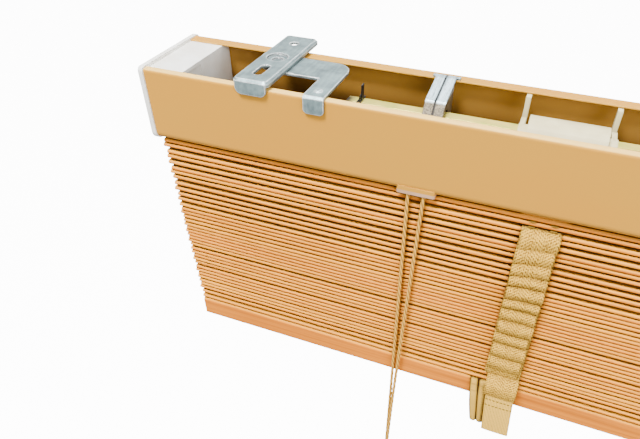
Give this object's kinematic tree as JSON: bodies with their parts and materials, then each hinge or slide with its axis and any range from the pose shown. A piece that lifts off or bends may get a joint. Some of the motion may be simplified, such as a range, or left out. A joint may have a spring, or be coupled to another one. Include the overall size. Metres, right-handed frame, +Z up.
{
  "type": "wooden venetian blind",
  "caption": "Wooden venetian blind drawn up under an open steel headrail, with swivel brackets, tilt rod, cord lock, woven ladder tapes and pull cords.",
  "frame": {"origin": "midway between the two brackets' screw holes, on the brackets' flat top faces", "axes": "+X along the headrail to the right, +Y from the room to the window, +Z up"},
  "size_m": [0.906, 0.0774, 0.3834],
  "materials": {
    "wood": "satin varnish",
    "painted_rail": "satin tan paint",
    "white_plastic": "moulded",
    "cream_plastic": "moulded",
    "zinc_steel": "zinc plated",
    "yellow_zinc": "yellow zinc plated",
    "black_steel": "blackened spring steel",
    "pink_plastic": "moulded",
    "woven_tape": "herringbone weave",
    "cord": "twisted cord"
  },
  "bodies": {
    "headrail": {"headrail": "painted_rail", "end_caps": "white_plastic", "bracket_plates": "zinc_steel", "cord_lock_frame": "zinc_steel", "cord_ferrule": "pink_plastic", "rod_cradles": "cream_plastic", "tilter_case": "cream_plastic", "lift_cords": "cord", "ladder_tapes": "woven_tape", "pull_cord_left": "cord", "pull_cord_right": "cord", "cord_hank": "cord", "cord_tassel": "wood"},
    "tilt_rod": {"tilt_rod": "yellow_zinc", "rod_clip": "black_steel", "tilt_drums": "cream_plastic"},
    "bracket_lever_left": {"bracket_lever_left": "zinc_steel"},
    "bracket_lever_right": {"bracket_lever_right": "zinc_steel"},
    "cord_lock_roller": {"cord_lock_roller": "zinc_steel"},
    "tilter_shaft": {"tilter_shaft": "zinc_steel"},
    "bottom_rail": {"bottom_rail": "wood", "rail_buttons": "cream_plastic"},
    "slat_01": {"slat_01": "wood"},
    "slat_02": {"slat_02": "wood"},
    "slat_03": {"slat_03": "wood"},
    "slat_04": {"slat_04": "wood"},
    "slat_05": {"slat_05": "wood"},
    "slat_06": {"slat_06": "wood"},
    "slat_07": {"slat_07": "wood"},
    "slat_08": {"slat_08": "wood"},
    "slat_09": {"slat_09": "wood"},
    "slat_10": {"slat_10": "wood"},
    "slat_11": {"slat_11": "wood"},
    "slat_12": {"slat_12": "wood"},
    "slat_13": {"slat_13": "wood"},
    "slat_14": {"slat_14": "wood"},
    "slat_15": {"slat_15": "wood"},
    "slat_16": {"slat_16": "wood"},
    "slat_17": {"slat_17": "wood"},
    "slat_18": {"slat_18": "wood"},
    "slat_19": {"slat_19": "wood"},
    "slat_20": {"slat_20": "wood"},
    "slat_21": {"slat_21": "wood"},
    "slat_22": {"slat_22": "wood"},
    "slat_23": {"slat_23": "wood"},
    "slat_24": {"slat_24": "wood"},
    "slat_25": {"slat_25": "wood"},
    "slat_26": {"slat_26": "wood"},
    "slat_27": {"slat_27": "wood"},
    "slat_28": {"slat_28": "wood"},
    "slat_29": {"slat_29": "wood"},
    "slat_30": {"slat_30": "wood"},
    "slat_31": {"slat_31": "wood"},
    "slat_32": {"slat_32": "wood"},
    "slat_33": {"slat_33": "wood"},
    "slat_34": {"slat_34": "wood"},
    "slat_35": {"slat_35": "wood"},
    "slat_36": {"slat_36": "wood"},
    "slat_37": {"slat_37": "wood"},
    "slat_38": {"slat_38": "wood"}
  },
  "joints": [
    {"name": "lift", "type": "slide", "parent": "headrail", "child": "bottom_rail", "axis": [0, 0, -1], "range_m": [0, 1.50199], "deforming": ["ladder_tapes", "lift_cords"]},
    {"name": "tilt", "type": "hinge", "parent": "headrail", "child": "tilt_rod", "pos_m": [0, -0.0255, -0.0185], "axis": [1, 0, 0], "range_deg": [-75, 75]},
    {"name": "tilter_turn", "type": "hinge", "parent": "headrail", "child": "tilter_shaft", "pos_m": [0.29, -0.0518, -0.0463], "axis": [0, -0.6428, -0.766], "range_deg": [-1060, 1060]},
    {"name": "lever_left_swing", "type": "hinge", "parent": "headrail", "child": "bracket_lever_left", "pos_m": [-0.382, -0.022, -0.0046], "axis": [0, 0, 1], "range_deg": [-38, 0]},
    {"name": "lever_right_swing", "type": "hinge", "parent": "headrail", "child": "bracket_lever_right", "pos_m": [0.382, -0.022, -0.0046], "axis": [0, 0, 1], "range_deg": [-38, 0]},
    {"name": "lock_release", "type": "slide", "parent": "headrail", "child": "cord_lock_roller", "axis": [0, 0.5736, 0.8192], "range_m": [0, 0.005]},
    {"name": "slat_01_drop", "type": "slide", "parent": "headrail", "child": "slat_01", "axis": [0, 0, -1], "range_m": [0, 0.04083]},
    {"name": "slat_02_drop", "type": "slide", "parent": "headrail", "child": "slat_02", "axis": [0, 0, -1], "range_m": [0, 0.07953]},
    {"name": "slat_03_drop", "type": "slide", "parent": "headrail", "child": "slat_03", "axis": [0, 0, -1], "range_m": [0, 0.11698]},
    {"name": "slat_04_drop", "type": "slide", "parent": "headrail", "child": "slat_04", "axis": [0, 0, -1], "range_m": [0, 0.1557]},
    {"name": "slat_05_drop", "type": "slide", "parent": "headrail", "child": "slat_05", "axis": [0, 0, -1], "range_m": [0, 0.19337]},
    {"name": "slat_06_drop", "type": "slide", "parent": "headrail", "child": "slat_06", "axis": [0, 0, -1], "range_m": [0, 0.23116]},
    {"name": "slat_07_drop", "type": "slide", "parent": "headrail", "child": "slat_07", "axis": [0, 0, -1], "range_m": [0, 0.27034]},
    {"name": "slat_08_drop", "type": "slide", "parent": "headrail", "child": "slat_08", "axis": [0, 0, -1], "range_m": [0, 0.30872]},
    {"name": "slat_09_drop", "type": "slide", "parent": "headrail", "child": "slat_09", "axis": [0, 0, -1], "range_m": [0, 0.346]},
    {"name": "slat_10_drop", "type": "slide", "parent": "headrail", "child": "slat_10", "axis": [0, 0, -1], "range_m": [0, 0.38368]},
    {"name": "slat_11_drop", "type": "slide", "parent": "headrail", "child": "slat_11", "axis": [0, 0, -1], "range_m": [0, 0.42165]},
    {"name": "slat_12_drop", "type": "slide", "parent": "headrail", "child": "slat_12", "axis": [0, 0, -1], "range_m": [0, 0.45965]},
    {"name": "slat_13_drop", "type": "slide", "parent": "headrail", "child": "slat_13", "axis": [0, 0, -1], "range_m": [0, 0.49703]},
    {"name": "slat_14_drop", "type": "slide", "parent": "headrail", "child": "slat_14", "axis": [0, 0, -1], "range_m": [0, 0.53565]},
    {"name": "slat_15_drop", "type": "slide", "parent": "headrail", "child": "slat_15", "axis": [0, 0, -1], "range_m": [0, 0.57483]},
    {"name": "slat_16_drop", "type": "slide", "parent": "headrail", "child": "slat_16", "axis": [0, 0, -1], "range_m": [0, 0.61365]},
    {"name": "slat_17_drop", "type": "slide", "parent": "headrail", "child": "slat_17", "axis": [0, 0, -1], "range_m": [0, 0.65234]},
    {"name": "slat_18_drop", "type": "slide", "parent": "headrail", "child": "slat_18", "axis": [0, 0, -1], "range_m": [0, 0.69091]},
    {"name": "slat_19_drop", "type": "slide", "parent": "headrail", "child": "slat_19", "axis": [0, 0, -1], "range_m": [0, 0.73009]},
    {"name": "slat_20_drop", "type": "slide", "parent": "headrail", "child": "slat_20", "axis": [0, 0, -1], "range_m": [0, 0.76927]},
    {"name": "slat_21_drop", "type": "slide", "parent": "headrail", "child": "slat_21", "axis": [0, 0, -1], "range_m": [0, 0.80845]},
    {"name": "slat_22_drop", "type": "slide", "parent": "headrail", "child": "slat_22", "axis": [0, 0, -1], "range_m": [0, 0.84763]},
    {"name": "slat_23_drop", "type": "slide", "parent": "headrail", "child": "slat_23", "axis": [0, 0, -1], "range_m": [0, 0.88681]},
    {"name": "slat_24_drop", "type": "slide", "parent": "headrail", "child": "slat_24", "axis": [0, 0, -1], "range_m": [0, 0.92599]},
    {"name": "slat_25_drop", "type": "slide", "parent": "headrail", "child": "slat_25", "axis": [0, 0, -1], "range_m": [0, 0.96372]},
    {"name": "slat_26_drop", "type": "slide", "parent": "headrail", "child": "slat_26", "axis": [0, 0, -1], "range_m": [0, 1.00244]},
    {"name": "slat_27_drop", "type": "slide", "parent": "headrail", "child": "slat_27", "axis": [0, 0, -1], "range_m": [0, 1.04148]},
    {"name": "slat_28_drop", "type": "slide", "parent": "headrail", "child": "slat_28", "axis": [0, 0, -1], "range_m": [0, 1.08017]},
    {"name": "slat_29_drop", "type": "slide", "parent": "headrail", "child": "slat_29", "axis": [0, 0, -1], "range_m": [0, 1.11914]},
    {"name": "slat_30_drop", "type": "slide", "parent": "headrail", "child": "slat_30", "axis": [0, 0, -1], "range_m": [0, 1.15676]},
    {"name": "slat_31_drop", "type": "slide", "parent": "headrail", "child": "slat_31", "axis": [0, 0, -1], "range_m": [0, 1.19559]},
    {"name": "slat_32_drop", "type": "slide", "parent": "headrail", "child": "slat_32", "axis": [0, 0, -1], "range_m": [0, 1.23441]},
    {"name": "slat_33_drop", "type": "slide", "parent": "headrail", "child": "slat_33", "axis": [0, 0, -1], "range_m": [0, 1.27325]},
    {"name": "slat_34_drop", "type": "slide", "parent": "headrail", "child": "slat_34", "axis": [0, 0, -1], "range_m": [0, 1.31148]},
    {"name": "slat_35_drop", "type": "slide", "parent": "headrail", "child": "slat_35", "axis": [0, 0, -1], "range_m": [0, 1.35053]},
    {"name": "slat_36_drop", "type": "slide", "parent": "headrail", "child": "slat_36", "axis": [0, 0, -1], "range_m": [0, 1.38909]},
    {"name": "slat_37_drop", "type": "slide", "parent": "headrail", "child": "slat_37", "axis": [0, 0, -1], "range_m": [0, 1.42685]},
    {"name": "slat_38_drop", "type": "slide", "parent": "headrail", "child": "slat_38", "axis": [0, 0, -1], "range_m": [0, 1.46393]}
  ],
  "couplings": [
    {"joint": "tilter_turn", "follows": "tilt", "ratio": -14},
    {"joint": "slat_01_drop", "follows": "lift", "ratio": 0.026851},
    {"joint": "slat_02_drop", "follows": "lift", "ratio": 0.052617},
    {"joint": "slat_03_drop", "follows": "lift", "ratio": 0.07755},
    {"joint": "slat_04_drop", "follows": "lift", "ratio": 0.10333},
    {"joint": "slat_05_drop", "follows": "lift", "ratio": 0.12841},
    {"joint": "slat_06_drop", "follows": "lift", "ratio": 0.15357},
    {"joint": "slat_07_drop", "follows": "lift", "ratio": 0.17966},
    {"joint": "slat_08_drop", "follows": "lift", "ratio": 0.20521},
    {"joint": "slat_09_drop", "follows": "lift", "ratio": 0.23003},
    {"joint": "slat_10_drop", "follows": "lift", "ratio": 0.25511},
    {"joint": "slat_11_drop", "follows": "lift", "ratio": 0.2804},
    {"joint": "slat_12_drop", "follows": "lift", "ratio": 0.30569},
    {"joint": "slat_13_drop", "follows": "lift", "ratio": 0.33058},
    {"joint": "slat_14_drop", "follows": "lift", "ratio": 0.35629},
    {"joint": "slat_15_drop", "follows": "lift", "ratio": 0.38238},
    {"joint": "slat_16_drop", "follows": "lift", "ratio": 0.40823},
    {"joint": "slat_17_drop", "follows": "lift", "ratio": 0.43398},
    {"joint": "slat_18_drop", "follows": "lift", "ratio": 0.45966},
    {"joint": "slat_19_drop", "follows": "lift", "ratio": 0.48575},
    {"joint": "slat_20_drop", "follows": "lift", "ratio": 0.51183},
    {"joint": "slat_21_drop", "follows": "lift", "ratio": 0.53792},
    {"joint": "slat_22_drop", "follows": "lift", "ratio": 0.564},
    {"joint": "slat_23_drop", "follows": "lift", "ratio": 0.59009},
    {"joint": "slat_24_drop", "follows": "lift", "ratio": 0.61618},
    {"joint": "slat_25_drop", "follows": "lift", "ratio": 0.6413},
    {"joint": "slat_26_drop", "follows": "lift", "ratio": 0.66707},
    {"joint": "slat_27_drop", "follows": "lift", "ratio": 0.69307},
    {"joint": "slat_28_drop", "follows": "lift", "ratio": 0.71883},
    {"joint": "slat_29_drop", "follows": "lift", "ratio": 0.74477},
    {"joint": "slat_30_drop", "follows": "lift", "ratio": 0.76982},
    {"joint": "slat_31_drop", "follows": "lift", "ratio": 0.79567},
    {"joint": "slat_32_drop", "follows": "lift", "ratio": 0.82152},
    {"joint": "slat_33_drop", "follows": "lift", "ratio": 0.84738},
    {"joint": "slat_34_drop", "follows": "lift", "ratio": 0.87283},
    {"joint": "slat_35_drop", "follows": "lift", "ratio": 0.89883},
    {"joint": "slat_36_drop", "follows": "lift", "ratio": 0.9245},
    {"joint": "slat_37_drop", "follows": "lift", "ratio": 0.94964},
    {"joint": "slat_38_drop", "follows": "lift", "ratio": 0.97433}
  ]
}
